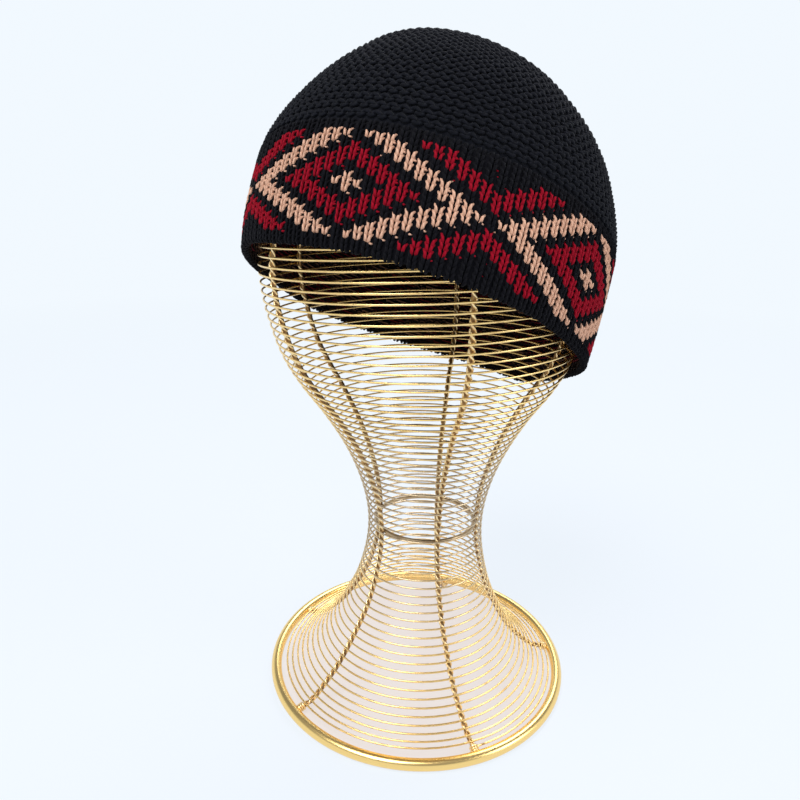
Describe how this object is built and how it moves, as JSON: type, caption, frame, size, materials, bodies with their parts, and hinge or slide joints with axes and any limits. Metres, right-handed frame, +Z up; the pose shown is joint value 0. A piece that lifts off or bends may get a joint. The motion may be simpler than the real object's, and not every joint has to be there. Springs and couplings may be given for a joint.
{
  "type": "knit hat on a wire hat stand",
  "caption": "Close-fitting knit hat with a ridged crown and a lozenge band, held on an open, spirally wound gold wire stand with a ring foot.",
  "frame": {"origin": "on the floor, under the middle of the whole bounding box, in the plane of the stand's ring foot", "axes": "+Z up, -Y towards the viewer, where the front of the patterned band rides up, +X to the viewer's right"},
  "size_m": [0.1736, 0.1782, 0.3239],
  "materials": {
    "black_wool": "matt knitted yarn, black",
    "red_wool": "matt knitted yarn, crimson",
    "beige_wool": "matt knitted yarn, pale beige",
    "polished_gold": "bright gold-coloured plating, polished",
    "gold_wire": "gold-coloured wire, bright with darker places"
  },
  "bodies": {
    "root": {"knit_crown": "black_wool", "patterned_band": "black_wool", "stand_frame": "polished_gold", "stand_winding": "gold_wire"}
  },
  "joints": []
}
